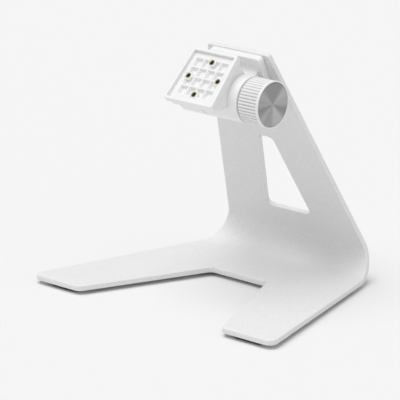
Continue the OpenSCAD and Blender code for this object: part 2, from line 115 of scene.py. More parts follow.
class BracketSizes(bpy.types.PropertyGroup):
    """Sizes of the hinge bracket, its barrel and its screws."""

    axis_height: length("Axis height", "Distance of the tilt axis in front of the upright", 28.5)
    width: length("Plate width", "Width of the plate", 49)
    top: length("Plate top", "Top of the plate above the tilt axis", 18.4)
    low: length("Plate bottom", "Bottom of the plate below the tilt axis", 23.6)
    thickness: length("Plate thickness", "Thickness of the plate with its rim", 5.5)
    recess: length("Recess depth", "Depth of the recess in the plate", 1.3)
    rim: length("Rim width", "Width of the rim round the recess", 4.5)
    corner: length("Plate corner", "Rounding of the plate's corners", 3)
    barrel_radius: length("Barrel radius", "Radius of the barrel and the knuckle", 17.5)
    barrel_left: length("Barrel left", "Left end of the barrel, left of the middle", 5)
    barrel_right: length("Barrel right", "Right end of the barrel", 30)
    fillet_top: length("Upper fillet", "Fillet between the barrel's top and the plate", 5)
    fillet_low: length("Lower fillet", "Fillet between the barrel's belly and the plate", 7)
    screw_side: length("Screw place", "Distance of the screws from the middle", 17)
    screw_top: length("Upper screws", "Place of the upper screws above the tilt axis", 11)
    screw_low: length("Lower screws", "Place of the lower screws below the tilt axis", 15)
    pan_radius: length("Pan head radius", "Radius of the screws' heads", 3.9)
    pan_height: length("Pan head height", "Height of the screws' heads", 2.6)
    washer: length("Washer space", "Room for a washer under a screw's head", 1)


class HeadSizes(bpy.types.PropertyGroup):
    """Sizes of the mount head: tray, housing and knuckle."""

    tilt: FloatProperty(
        name="Face tilt",
        description="Upward tilt of the mount face",
        default=math.radians(45),
        subtype="ANGLE",
    )
    tray_width: length("Tray width", "Width of the tray at its bottom edge", 47)
    tray_top: length("Tray top width", "Width of the tray at its top edge", 42.5)
    tray_height: length("Tray height", "Height of the tray", 45.5)
    tray_face: length("Tray face", "Distance of the tray's face from the tilt axis", 26.6)
    tray_drop: length("Tray drop", "How far the tray's middle lies below the axis", 3.3)
    tray_thickness: length("Tray thickness", "Thickness of the tray's rim plate", 5)
    tray_rim: length("Tray rim", "Width of the raised rim", 2.4)
    pocket: length("Pocket depth", "Depth of the pocket inside the rim", 2.6)
    rib_pitch: length("Rib pitch", "Pitch of the ribs", 8)
    rib_thickness: length("Rib thickness", "Thickness of a rib", 1)
    cell_depth: length("Cell depth", "Depth of a cell", 3.6)
    boss_radius: length("Boss radius", "Radius of the bosses round the inserts", 3.3)
    insert_radius: length("Insert radius", "Radius of a brass insert", 2.4)
    insert_bore: length("Insert bore", "Bore of a brass insert", 3)
    insert_reach: length("Insert reach", "Distance of an insert from the tray's middle", 14)
    housing_margin: length("Housing margin", "How far the housing stands inside the tray", 1.2)
    knuckle_left: length("Knuckle left", "Left end of the knuckle, left of the middle", 28.5)
    knuckle_right: length("Knuckle right", "Right end of the knuckle, left of the middle", 6)
    screw_inset: length("Screw inset", "Distance of the housing's screws from the tray's edges", 3.7)
    screw_depth: length("Screw depth", "Depth of the screws' heads behind the tray", 3.9)


class KnobSizes(bpy.types.PropertyGroup):
    """Sizes of the clamp knob."""

    left: length("Left end", "End of the knob next to the barrel", 31)
    right: length("Right end", "Outer end of the knob", 50)
    radius: length("Radius", "Outer radius of the knob", 17.5)
    disc_radius: length("Disc radius", "Radius of the metal disc", 16.5)
    smooth: length("Smooth ring", "Length of the smooth ring at the outer end", 2)
    rib_depth: length("Rib depth", "Depth of the grip's grooves", 1.5)
    ribs: IntProperty(name="Ribs", description="Number of grip ribs", default=44, min=12)


class FinishColours(bpy.types.PropertyGroup):
    """Colours of the stand's finishes."""

    coat: colour("Powder coat", "Sand-textured coat on the steel sheet", (0.77, 0.77, 0.775))
    plastic: colour("Moulding", "White moulded plastic", (0.82, 0.82, 0.825))
    rubber: colour("Rubber", "Foot pads", (0.045, 0.045, 0.047))
    brass: colour("Brass", "Inserts, bushes and the knob's nut", (0.36, 0.31, 0.22))
    # thread: near-black colour for the insert bores, painted shade for the dark inside of the holes, not
    # oil
    thread: colour("Thread", "Oiled thread inside the inserts", (0.035, 0.028, 0.018))
    plate: colour("Zinc plate", "Screws, washers and springs", (0.56, 0.57, 0.59))
    disc: colour("Brushed disc", "Metal disc in the knob", (0.36, 0.36, 0.365))
    fibre: colour("Fibre", "Friction rings", (0.16, 0.13, 0.10))
    floor: colour("Floor", "Plain studio floor", (0.80, 0.80, 0.80))


class StudioSetup(bpy.types.PropertyGroup):
    """Camera and light."""

    azimuth: FloatProperty(
        name="Azimuth",
        description="Camera's angle to the right of the front",
        default=math.radians(41.464),
        subtype="ANGLE",
    )
    elevation: FloatProperty(
        name="Elevation",
        description="Camera's angle above the counter",
        default=math.radians(16.728),
        subtype="ANGLE",
    )
    distance: FloatProperty(
        name="Distance",
        description="Camera's distance from the point it looks at",
        default=2.44315,
        unit="LENGTH",
    )
    aim: FloatVectorProperty(
        name="Aim",
        description="Point the camera looks at",
        default=(-0.05838, 0.03800, 0.04819),
        size=3,
        unit="LENGTH",
        precision=5,
    )
    lens: FloatProperty(
        name="Lens", description="Focal length in millimetres", default=290.65, min=1.0
    )
    sky: FloatProperty(name="Sky", description="Brightness of the even light", default=0.55)
    sun: FloatProperty(name="Overhead", description="Strength of the overhead light", default=1.82)
    side: FloatProperty(name="Side", description="Strength of the light from the right", default=0.24)


SETTINGS = {
    "sheet": StandSheetSizes, "bracket": BracketSizes, "head": HeadSizes, "knob": KnobSizes,
    "colours": FinishColours, "studio": StudioSetup,
}


def settings(kind):
    """The scene's values for one property group."""
    return getattr(bpy.context.scene, "stand_" + kind)


# ---------------------------------------------------------------- shapes

def unit(vectors):
    """Each vector divided by its own length."""
    return vectors / np.maximum(np.linalg.norm(vectors, axis=-1, keepdims=True), 1e-12)


def round_corners(points, radii, steps=6):
    """Closed outline whose corners are arcs: each arc touches both sides, its centre lies on the
    corner's bisector at radius / sin(half angle), and its points turn evenly between the two."""
    corner = np.asarray(points, float)
    radius = np.broadcast_to(np.asarray(radii, float), len(corner))[:, None]
    back = unit(np.roll(corner, 1, 0) - corner)
    ahead = unit(np.roll(corner, -1, 0) - corner)
    half = np.arccos(np.clip((back * ahead).sum(1), -1, 1))[:, None] / 2
    half = np.clip(half, 1e-4, PI / 2 - 1e-5)
    centre = corner + unit(back + ahead) * radius / np.sin(half)
    start = corner + back * radius / np.tan(half) - centre
    end = corner + ahead * radius / np.tan(half) - centre
    turn = (PI - 2 * half)[:, :, None]
    share = np.linspace(0, 1, steps + 1)[None, :, None]
    arc = np.sin((1 - share) * turn) * start[:, None] + np.sin(share * turn) * end[:, None]
    return (centre[:, None] + arc / np.sin(turn)).reshape(-1, 2)


def rectangle(half_w, half_h, radius, steps=6):
    """Rectangle about the origin, counter-clockwise, with rounded corners."""
    corners = [[half_w, -half_h], [half_w, half_h], [-half_w, half_h], [-half_w, -half_h]]
    return round_corners(corners, max(radius, 1e-6), steps)


def quads(rows, cols, close_rows=False, close_cols=False):
    """Faces of a grid of rows by columns, joined end to end where a direction closes."""
    i = np.arange(rows if close_rows else rows - 1)[:, None]
    j = np.arange(cols if close_cols else cols - 1)[None, :]
    up = (i + 1) % rows
    on = (j + 1) % cols
    faces = np.stack([i * cols + j, i * cols + on, up * cols + on, up * cols + j], -1)
    return faces.reshape(-1, 4)


def loft(loops, ring=False):
    """Closed skin over a stack of loops. A stack that isn't a ring ends in its loops' middles."""
    loops = np.asarray(loops, float)
    if not ring:
        first = np.repeat(loops[:1].mean(1, keepdims=True), loops.shape[1], 1)
        last = np.repeat(loops[-1:].mean(1, keepdims=True), loops.shape[1], 1)
        loops = np.concatenate([first, loops, last])
    return loops.reshape(-1, 3), quads(loops.shape[0], loops.shape[1], ring, True)


def lathe(profile, origin, along, aside, count=96, ring=False, swell=None):
    """Profile of (height, radius) turned about a line: height along it plus radius times
    cos(angle) aside plus sin(angle) across. swell(angle, row) scales the radius."""
    profile = np.asarray(profile, float)
    angle = np.linspace(0, 2 * PI, count, endpoint=False)
    height = np.repeat(profile[:, :1], count, 1)
    radius = np.repeat(profile[:, 1:], count, 1)
    if swell is not None:
        radius = radius * swell(angle[None, :], np.arange(len(profile))[:, None])
    along = np.asarray(along, float)
    aside = np.asarray(aside, float)
    across = np.cross(along, aside)
    round_about = np.cos(angle)[:, None] * aside + np.sin(angle)[:, None] * across
    loops = np.asarray(origin, float) + height[..., None] * along
    loops = loops + radius[..., None] * round_about[None]
    return loft(loops, ring)


def smooth_profile(points, radii, steps=5):
    """Open profile whose inner corners are rounded and whose ends stay sharp."""
    radii = np.asarray(radii, float)
    radii[0] = radii[-1] = SHARP
    line = round_corners(points, radii, steps)
    keep = np.r_[True, np.linalg.norm(np.diff(line, axis=0), axis=1) > 1e-7]
    return line[keep]


def prism(outline, heights):
    """Outline carried along a third direction; ends close by bridging matching points."""
    outline = np.asarray(outline, float)
    count = len(outline)
    rows = len(heights)
    points = np.zeros((rows, count, 3))
    points[..., :2] = outline
    points[..., 2] = np.asarray(heights, float)[:, None]
    faces = quads(rows, count, False, True)
    k = np.arange(count // 2 - 1)
    cap = np.stack([k, k + 1, count - 2 - k, count - 1 - k], -1)
    return points.reshape(-1, 3), np.concatenate([faces, cap, cap + (rows - 1) * count])


def shell(points, faces):
    """One closed skin as a mesh: doubles merged, faces turned outwards."""
    mesh = bpy.data.meshes.new("shell")
    cells = faces if isinstance(faces, list) else faces.tolist()
    mesh.from_pydata(np.asarray(points).tolist(), [], cells)
    work = bmesh.new()
    work.from_mesh(mesh)
    bmesh.ops.remove_doubles(work, verts=work.verts, dist=4e-7)
    bmesh.ops.dissolve_degenerate(work, edges=work.edges, dist=1e-7)
    bmesh.ops.recalc_face_normals(work, faces=work.faces)
    work.to_mesh(mesh)
    work.free()
    return mesh


def piece(name, shells, body, material, replaced=(), crease=38):
    """Object made of closed skins that rides on a body and stands for CAD nodes."""
    work = bmesh.new()
    for points, faces in shells:
        mesh = shell(points, faces)
        work.from_mesh(mesh)
        bpy.data.meshes.remove(mesh)
    mesh = bpy.data.meshes.new(name)
    work.to_mesh(mesh)
    work.free()
    if not len(mesh.polygons):
        raise RuntimeError(name + " came out empty")
    mesh.shade_smooth()
    mesh.set_sharp_from_angle(angle=math.radians(crease))
    mesh.materials.append(material)
    made = bpy.data.objects.new(name, mesh)
    bpy.context.scene.collection.objects.link(made)
    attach(made, body)
    if replaced:
        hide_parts(*replaced)
    return made


def stand_place(points):
    """From the stand's own place (origin at the bend corner) to the part's frame."""
    sheet = settings("sheet")
    origin = np.array([0.0, SHEET_LOW[1] + sheet.base_length, SHEET_LOW[2] + sheet.thickness])
    return np.asarray(points, float) + origin


def bracket_axes():
    """Across, up along the upright, and out of its front."""
    lean = settings("sheet").lean
    up = np.array([0.0, -math.sin(lean), math.cos(lean)])
    out = np.array([0.0, -math.cos(lean), -math.sin(lean)])
    return np.array([[1.0, 0.0, 0.0], up, out])


def head_axes():
    """Across, up along the mount face, and out of it."""
    tilt = settings("head").tilt
    up = np.array([0.0, math.sin(tilt), math.cos(tilt)])
    out = np.array([0.0, -math.cos(tilt), math.sin(tilt)])
    return np.array([[1.0, 0.0, 0.0], up, out])


def placed(points, axes):
    """Points given along three axes through the tilt axis, put into the part's frame."""
    return AXIS + np.asarray(points, float) @ axes


# ---------------------------------------------------------------- finishes

def node(tree, kind, **values):
    """New shader node with its own settings; sockets go by name after a leading underscore."""
    made = tree.nodes.new(kind)
    for key, value in values.items():
        if key.startswith("_"):
            made.inputs[key[1:].replace("_", " ")].default_value = value
        else:
            setattr(made, key, value)
    return made


def blank(name):
    """Material with an empty tree, its shader and its object coordinates."""
    material = bpy.data.materials.new(name)
    material.use_nodes = True
    tree = material.node_tree
    tree.nodes.clear()
    out = tree.nodes.new("ShaderNodeOutputMaterial")
    shader = tree.nodes.new("ShaderNodeBsdfPrincipled")
    tree.links.new(shader.outputs["BSDF"], out.inputs["Surface"])
    place = tree.nodes.new("ShaderNodeTexCoord").outputs["Object"]
    return material, tree, shader, place


def noise(tree, place, scale, detail, rough):
    """Noise over the object's own coordinates."""
    made = node(tree, "ShaderNodeTexNoise", _Scale=scale, _Detail=detail, _Roughness=rough)
    tree.links.new(place, made.inputs["Vector"])
    return made.outputs["Fac"]


def spread(tree, value, low, high, start=0.3, end=0.7):
    """Value mapped from start..end to low..high."""
    made = node(tree, "ShaderNodeMapRange", clamp=True)
    for key, number in zip(("From Min", "From Max", "To Min", "To Max"), (start, end, low, high)):
        made.inputs[key].default_value = number
    tree.links.new(value, made.inputs["Value"])
    return made.outputs["Result"]


def tint(tree, value, base, low, high):
    """Base colour scaled between low and high by a value. A colour mix has its two colours on
    sockets 6 and 7, and its result on socket 2."""
    made = node(tree, "ShaderNodeMix", data_type="RGBA")
    made.inputs[6].default_value = [min(c * low, 1.0) for c in base] + [1.0]
    made.inputs[7].default_value = [min(c * high, 1.0) for c in base] + [1.0]
    tree.links.new(value, made.inputs["Factor"])
    return made.outputs[2]


def bump(tree, height, strength, distance, under=None):
    """Bump over an optional bump below it."""
    made = node(tree, "ShaderNodeBump", _Strength=strength, _Distance=distance)
    tree.links.new(height, made.inputs["Height"])
    if under is not None:
        tree.links.new(under, made.inputs["Normal"])
    return made.outputs["Normal"]


def sand_coat():
    """Powder coat: fine grains on a soft orange peel, slightly uneven in tone and gloss."""
    material, tree, shader, place = blank("sand_coat")
    base = tuple(settings("colours").coat)
    grain = noise(tree, place, 1500, 2.0, 0.6)
    fine = noise(tree, place, 3600, 1.0, 0.5)
    cloud = noise(tree, place, 60, 3.0, 0.5)
    tone = tint(tree, spread(tree, grain, 0.0, 1.0, 0.36, 0.64), base, 0.93, 1.07)
    tree.links.new(tone, shader.inputs["Base Color"])
    tree.links.new(spread(tree, cloud, 0.42, 0.54), shader.inputs["Roughness"])
    peel = bump(tree, grain, 0.55, 0.00035)
    tree.links.new(bump(tree, fine, 0.35, 0.00015, peel), shader.inputs["Normal"])
    shader.inputs["Specular IOR Level"].default_value = 0.5
    return material


def satin_plastic():
    """Moulded plastic: even satin skin with a very fine spark-eroded texture."""
    material, tree, shader, place = blank("satin_plastic")
    base = tuple(settings("colours").plastic)
    skin = noise(tree, place, 5200, 1.0, 0.5)
    flow = noise(tree, place, 90, 2.0, 0.5)
    tree.links.new(tint(tree, flow, base, 0.985, 1.015), shader.inputs["Base Color"])
    tree.links.new(spread(tree, flow, 0.30, 0.38), shader.inputs["Roughness"])
    tree.links.new(bump(tree, skin, 0.12, 0.00006), shader.inputs["Normal"])
    shader.inputs["Specular IOR Level"].default_value = 0.5
    return material


def foot_rubber():
    """Rubber: matt, slightly dusty and pitted."""
    material, tree, shader, place = blank("foot_rubber")
    base = tuple(settings("colours").rubber)
    pit = noise(tree, place, 900, 4.0, 0.6)
    tree.links.new(tint(tree, pit, base, 0.8, 1.5), shader.inputs["Base Color"])
    tree.links.new(spread(tree, pit, 0.72, 0.9), shader.inputs["Roughness"])
    tree.links.new(bump(tree, pit, 0.3, 0.0002), shader.inputs["Normal"])
    return material


def metal(name, base, low, high, streak=(1.0, 1.0, 1.0)):
    """Bare or plated metal: fine streaks in one direction and a faint mottled tone."""
    material, tree, shader, place = blank(name)
    turned = node(tree, "ShaderNodeMapping", _Scale=streak)
    tree.links.new(place, turned.inputs["Vector"])
    line = noise(tree, turned.outputs["Vector"], 1800, 2.0, 0.5)
    cloud = noise(tree, place, 220, 3.0, 0.6)
    tree.links.new(tint(tree, cloud, base, 0.9, 1.1), shader.inputs["Base Color"])
    tree.links.new(spread(tree, line, low, high), shader.inputs["Roughness"])
    tree.links.new(bump(tree, line, 0.15, 0.00005), shader.inputs["Normal"])
    shader.inputs["Metallic"].default_value = 1.0
    return material


def turned_disc():
    """Disc brushed outwards from its middle: fine streaks follow the angle, and broad wedges of lighter
    and darker base colour are painted fan highlights laid over them; the anisotropic shine also spreads
    the real light across the streaks."""
    material, tree, shader, place = blank("turned_disc")
    base = tuple(settings("colours").disc)
    middle = node(tree, "ShaderNodeVectorMath", operation="SUBTRACT")
    middle.inputs[1].default_value = tuple(AXIS)
    tree.links.new(place, middle.inputs[0])
    flat = node(tree, "ShaderNodeVectorMath", operation="MULTIPLY")
    flat.inputs[1].default_value = (0.0, 1.0, 1.0)
    tree.links.new(middle.outputs["Vector"], flat.inputs[0])
    turn = node(tree, "ShaderNodeVectorMath", operation="NORMALIZE")
    tree.links.new(flat.outputs["Vector"], turn.inputs[0])
    # broad wedges round the middle: painted fan highlights, not brushing grain
    painted_fan_noise = noise(tree, turn.outputs["Vector"], 1.5, 1.0, 0.4)
    fine = noise(tree, turn.outputs["Vector"], 38.0, 3.0, 0.7)
    # wide carries the painted fan highlights, stretched to full contrast
    wide = spread(tree, painted_fan_noise, 0.0, 1.0, 0.34, 0.66)
    thin = spread(tree, fine, 0.0, 1.0, 0.3, 0.7)
    both = node(tree, "ShaderNodeMath", operation="MULTIPLY_ADD")
    both.inputs[1].default_value = 0.35
    tree.links.new(thin, both.inputs[0])
    part = node(tree, "ShaderNodeMath", operation="MULTIPLY")
    part.inputs[1].default_value = 0.65
    tree.links.new(wide, part.inputs[0])
    tree.links.new(part.outputs["Value"], both.inputs[2])
    # base colour: 0.35 of the fine brushing streaks plus 0.65 of the painted fan highlights
    tree.links.new(tint(tree, both.outputs["Value"], base, 0.68, 1.42), shader.inputs["Base Color"])
    tree.links.new(spread(tree, thin, 0.28, 0.42, 0.0, 1.0), shader.inputs["Roughness"])
    tree.links.new(bump(tree, fine, 0.12, 0.00006), shader.inputs["Normal"])
    around = node(tree, "ShaderNodeTangent", direction_type="UV_MAP", uv_map="around")
    tree.links.new(around.outputs["Tangent"], shader.inputs["Tangent"])
    shader.inputs["Metallic"].default_value = 1.0
    shader.inputs["Anisotropic"].default_value = 0.7
    return material


def friction_fibre():
    """Pressed fibre: short matt strands."""
    material, tree, shader, place = blank("friction_fibre")
    base = tuple(settings("colours").fibre)
    strand = noise(tree, place, 1400, 4.0, 0.7)
    tree.links.new(tint(tree, strand, base, 0.7, 1.4), shader.inputs["Base Color"])
    tree.links.new(spread(tree, strand, 0.75, 0.95), shader.inputs["Roughness"])
    tree.links.new(bump(tree, strand, 0.4, 0.0001), shader.inputs["Normal"])
    return material


def studio_floor():
    """Plain pale paper with a very soft tooth."""
    material, tree, shader, place = blank("studio_paper")
    base = tuple(settings("colours").floor)
    tooth = noise(tree, place, 700, 2.0, 0.5)
    tree.links.new(tint(tree, tooth, base, 0.995, 1.005), shader.inputs["Base Color"])
    shader.inputs["Roughness"].default_value = 0.9
    shader.inputs["Specular IOR Level"].default_value = 0.0
    return material


def brass():
    """Machined brass."""
    return metal("machined_brass", tuple(settings("colours").brass), 0.22, 0.38)


def bore_painted_shade():
    """Near-black brass for the bores: painted shade standing in for the dark inside of the holes."""
    return metal("bore_painted_shade", tuple(settings("colours").thread), 0.35, 0.55)


def zinc():
    """Zinc-plated steel."""
    return metal("zinc_plate", tuple(settings("colours").plate), 0.28, 0.46, (1.0, 3.0, 3.0))


FINISHES = {}


def finish(name):
    """The material of that name, made once."""
    makers = {
        "coat": sand_coat, "plastic": satin_plastic, "rubber": foot_rubber, "brass": brass,
        "zinc": zinc, "disc": turned_disc, "fibre": friction_fibre, "floor": studio_floor,
        "thread": bore_painted_shade,
    }
    if name not in FINISHES:
        FINISHES[name] = makers[name]()
    return FINISHES[name]


# ---------------------------------------------------------------- pieces

def flat_to_bent(across, along, depth):
    """The unrolled sheet bent into shape. Up to the bend, along runs level; in the bend it turns
    about the bend's centre at the angle along / middle radius; past it, it climbs the leaning
    upright. Depth goes into the sheet from its top face, so it widens the bend's radius."""
    sheet = settings("sheet")
    turn = PI / 2 + sheet.lean
    run = sheet.bend_radius * math.tan(turn / 2)
    middle = sheet.bend_radius + sheet.thickness / 2
    angle = np.clip((along + run) / middle, 0, turn)
    radius = sheet.bend_radius + depth
    rise = np.maximum(along + run - middle * turn, 0)
    level = np.minimum(along + run, 0)
    y = -run + level + radius * np.sin(angle) - rise * math.sin(sheet.lean)
    z = sheet.bend_radius - radius * np.cos(angle) + rise * math.cos(sheet.lean)
    return np.stack([across, y, z], -1)


def along_line(line, shares):
    """Points on a polyline at shares of its length."""
    step = np.linalg.norm(np.diff(line, axis=0), axis=1)
    reach = np.r_[0, np.cumsum(step)]
    reach = reach / reach[-1]
    return np.stack([np.interp(shares, reach, line[:, k]) for k in (0, 1)], -1)


def sheet_grid():
    """Grid over the unrolled sheet. A row is a line across the sheet; its outer blocks run from
    the notch's or window's side to the sheet's edge, and its middle block fills the gap between.
    Returns both coordinates, the faces and the closed edge loops."""
    sheet = settings("sheet")
    turn = PI / 2 + sheet.lean
    run = sheet.bend_radius * math.tan(turn / 2)
    bent = (sheet.bend_radius + sheet.thickness / 2) * turn
    tip = -sheet.base_length
    top = bent - 2 * run + sheet.upright_length
    up = bent - 2 * run
    base_slope = (sheet.foot_span - sheet.bend_width) / 2 / sheet.base_length
    upright_slope = (sheet.bend_width - sheet.top_width) / 2 / sheet.upright_length
    edge_along = [tip, -run, -run + bent, top]
    edge_half = [
        sheet.foot_span / 2,
        sheet.bend_width / 2 + base_slope * run,
        sheet.bend_width / 2 - upright_slope * run,
        sheet.top_width / 2,
    ]
    low, high = up + sheet.window_start, up + sheet.window_start + sheet.window_height
    notch = [[sheet.tip_gap / 2, tip], [sheet.notch_width / 2, -sheet.notch_back], [0, -sheet.notch_back]]
    notch = round_corners(notch + [[0, tip]], [SHARP, sheet.notch_radius, SHARP, SHARP], 8)[9:18]
    window = [[0, low], [sheet.window_bottom / 2, low], [sheet.window_top / 2, high], [0, high]]
    radii = [SHARP, sheet.window_radius, sheet.window_radius, SHARP]
    window = round_corners(window, radii, 8)[9:27]
    inner = np.concatenate([[[sheet.tip_gap / 2, tip]], notch, window, [[window[-1][0], top]]])
    first_row, beyond = 0.014, 0.05
    rows = np.concatenate([
        np.linspace(tip + first_row, notch[0][1], 8), notch[1:, 1],
        np.linspace(-sheet.notch_back, -run, 5)[1:-1], np.linspace(-run, -run + bent, 29),
        [-run + bent + (low + run - bent) * 0.5], window[:9, 1],
        np.linspace(window[8][1], window[9][1], 6)[1:-1], window[9:, 1],
        np.linspace(high, top, 8)[1:-1],
    ])
    inner_half = np.interp(rows, inner[:, 1], inner[:, 0])
    outer_half = np.interp(rows, edge_along, edge_half)
    notch_slope = (sheet.tip_gap - sheet.notch_width) / 2 / (sheet.base_length - sheet.notch_back)
    end = [[sheet.tip_gap / 2 - notch_slope * beyond, tip + beyond], [sheet.tip_gap / 2, tip],
           [sheet.foot_span / 2, tip], [sheet.foot_span / 2 - base_slope * beyond, tip + beyond]]
    end = round_corners(end, [SHARP, sheet.tip_radius, sheet.tip_radius, SHARP], 8)[9:27]
    filled = np.concatenate([end[:9], along_line(end[8:10], [0.2, 0.4, 0.6, 0.8]), end[9:]])
    step = np.r_[0, np.cumsum(np.linalg.norm(np.diff(filled, axis=0), axis=1))]
    share = step / step[-1]
    cap = [[inner[-1][0], top], [sheet.top_width / 2, top],
           [sheet.top_width / 2 + upright_slope * beyond, top - beyond],
           [inner[-1][0], top - beyond]]
    cap = round_corners(cap, [SHARP, sheet.top_radius, SHARP, SHARP], 8)[8:18]
    cap = along_line(cap, share)
    right = inner_half[:, None] + (outer_half - inner_half)[:, None] * share[None]
    right = np.concatenate([filled[None, :, 0], right, cap[None, :, 0]])
    right_along = np.concatenate([
        filled[None, :, 1], np.repeat(rows[:, None], len(share), 1), cap[None, :, 1]])
    spans = np.linspace(-1, 1, 7)[1:-1]
    middle = right[:, :1] * spans[None]
    middle_along = np.r_[tip, rows, top][:, None] * np.ones(5)
    across = np.concatenate([-right[:, ::-1], middle, right], 1)
    along = np.concatenate([right_along[:, ::-1], middle_along, right_along], 1)
    count, cols = across.shape
    left_at = len(share) - 1
    right_at = left_at + 6
    notch_row = int(np.argmin(abs(rows + sheet.notch_back))) + 1
    low_row = int(np.argmin(abs(rows - low))) + 1
    high_row = int(np.argmin(abs(rows - high))) + 1
    faces = quads(count, cols).reshape(count - 1, cols - 1, 4)
    solid = np.ones((count - 1, cols - 1), bool)
    solid[:notch_row, left_at:right_at] = False
    solid[low_row:high_row, left_at:right_at] = False
    index = np.arange(count * cols).reshape(count, cols)
    outer = np.concatenate([
        index[0, right_at:-1], index[:-1, -1], index[-1, :0:-1], index[:0:-1, 0],
        index[0, :left_at], index[:notch_row, left_at], index[notch_row, left_at:right_at],
        index[notch_row:0:-1, right_at]])
    window_loop = np.concatenate([
        index[low_row:high_row, left_at], index[high_row, left_at:right_at],
        index[high_row:low_row:-1, right_at], index[low_row, right_at:left_at:-1]])
    return across.ravel(), along.ravel(), faces[solid], (outer, window_loop)


def stand_sheet_shell():
    """The sheet's top face, its rounded edge carried round every loop, and its bottom face. The
    edge's profile is a quarter round, the plain wall, and a quarter round back under."""
    sheet = settings("sheet")
    across, along, faces, loops = sheet_grid()
    edge = sheet.edge
    swing = np.linspace(0, PI / 2, 6)
    inset = np.r_[-edge + edge * np.sin(swing), -edge + edge * np.cos(swing)]
    depth = np.r_[edge - edge * np.cos(swing), sheet.thickness - edge + edge * np.sin(swing)]
    flat = np.stack([across, along], -1)
    skins = []
    moved = flat.copy()
    for loop in loops:
        ring = flat[loop]
        ahead = unit(np.roll(ring, -1, 0) - ring)
        behind = unit(ring - np.roll(ring, 1, 0))
        tangent = unit(ahead + behind)
        outward = np.stack([tangent[:, 1], -tangent[:, 0]], -1)
        moved[loop] = ring - outward * edge
        path = ring[None] + outward[None] * inset[:, None, None]
        wall = flat_to_bent(path[..., 0], path[..., 1], depth[:, None] * np.ones(len(loop)))
        skins.append((wall.reshape(-1, 3), quads(len(inset), len(loop), False, True)))
    top = flat_to_bent(moved[:, 0], moved[:, 1], np.zeros(len(moved)))
    under = flat_to_bent(moved[:, 0], moved[:, 1], np.full(len(moved), sheet.thickness))
    points = [top, under]
    patches = [faces, faces[:, ::-1] + len(top)]
    shift = 2 * len(top)
    for skin, cells in skins:
        points.append(skin)
        patches.append(cells + shift)
        shift += len(skin)
    points = np.concatenate(points)
    patches = np.concatenate(patches)
    used, first = np.unique(patches, return_inverse=True)
    return stand_place(points[used]), first.reshape(-1, 4)


def pad_shells(node_name):
    """Foot pads: a rounded outline carried up the pad, drawn in at its lower and upper edges."""
    low, high = (np.array(corner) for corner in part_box(node_name))
    half_w, half_l = settings("sheet").pad_length / 2, (high[1] - low[1]) / 2
    shells = []
    for middle in (low[0] + half_w, high[0] - half_w):
        loops = []
        for inset, height in ((0.9, 0), (0.35, 0.15), (0.1, 0.5), (0, 1.1), (0, 2.6), (0.15, 3.0)):
            ring = rectangle(half_w - inset * MM, half_l - inset * MM, half_l * 0.95 - inset * MM, 8)
            rise = np.full((len(ring), 1), height * MM)
            loops.append(np.concatenate([ring, rise], 1) + [middle, (low[1] + high[1]) / 2, low[2]])
        shells.append(loft(loops))
    return shells


def plate_shell():
    """Bracket plate: a rounded rectangle carried through a profile of inset and height, from the
    back over the rounded rim down into the recess."""
    bracket = settings("bracket")
    back = -bracket.axis_height
    front = back + bracket.thickness
    floor = front - bracket.recess
    profile = smooth_profile(
        [[6 * MM, back + 0.02 * MM], [0.25 * MM, back + 0.02 * MM], [0, back + 0.3 * MM],
         [0, front], [bracket.rim, front], [bracket.rim + 0.15 * MM, floor], [9 * MM, floor]],
        np.array([0, 0.05, 0.1, 0.75, 0.35, 0.5, 0]) * MM)
    middle = (bracket.top - bracket.low) / 2
    half_h = (bracket.top + bracket.low) / 2
    loops = []
    for inset, height in profile:
        radius = bracket.corner - min(inset / bracket.rim, 1.6) * MM
        ring = rectangle(bracket.width / 2 - inset, half_h - inset, radius, 7)
        rise = np.full((len(ring), 1), height)
        loops.append(np.concatenate([ring + [0, middle], rise], 1))
    points, faces = loft(loops)
    return placed(points, bracket_axes()), faces


def neck_shell():
    """Neck between plate and barrel: two arcs, each touching the recess floor and the barrel,
    joined into an outline that runs across the bracket. Its ends lie inside plate and barrel."""
    bracket = settings("bracket")
    floor = -bracket.axis_height + bracket.thickness - bracket.recess
    lap = 0.3 * MM
    sides = []
    for fillet, side in ((bracket.fillet_top, 1), (bracket.fillet_low, -1)):
        reach = bracket.barrel_radius + fillet
        deep = floor + fillet
        wide = math.sqrt(reach ** 2 - deep ** 2)
        angle = PI / 2 + side * np.linspace(PI, PI / 2 + math.atan2(deep, wide), 14)
        arc = np.stack([side * wide + fillet * np.cos(angle), deep + fillet * np.sin(angle)], -1)
        in_plate = [arc[0][0], floor - 0.5 * MM]
        in_barrel = [arc[-1][0] * 0.8, -10 * MM]
        sides.append(np.concatenate([[in_plate], arc, [in_barrel]]))
    outline = np.concatenate([sides[0], sides[1][::-1]])
    left = -bracket.barrel_left + lap
    points, faces = prism(outline, [left, bracket.width / 2 - bracket.rim + lap])
    return placed(points[:, [2, 0, 1]], bracket_axes()), faces


def barrel_shell():
    """Fixed barrel: a closed turned body with softly rounded ends."""
    bracket = settings("bracket")
    left, right, radius = -bracket.barrel_left, bracket.barrel_right, bracket.barrel_radius
    profile = smooth_profile(
        [[left, 0], [left, radius], [right, radius], [right, 0]], np.array([0, 0.4, 0.4, 0]) * MM)
    axes = bracket_axes()
    return lathe(profile, AXIS, axes[0], axes[1], 160)


def six_sided(rows):
    """Swell that stretches the marked profile rows from circles to hexagons."""
    def swell(angle, row):
        hexagon = 1 / np.cos((angle % (PI / 3)) - PI / 6)
        return np.where(np.isin(row, rows), hexagon, 1.0)
    return swell


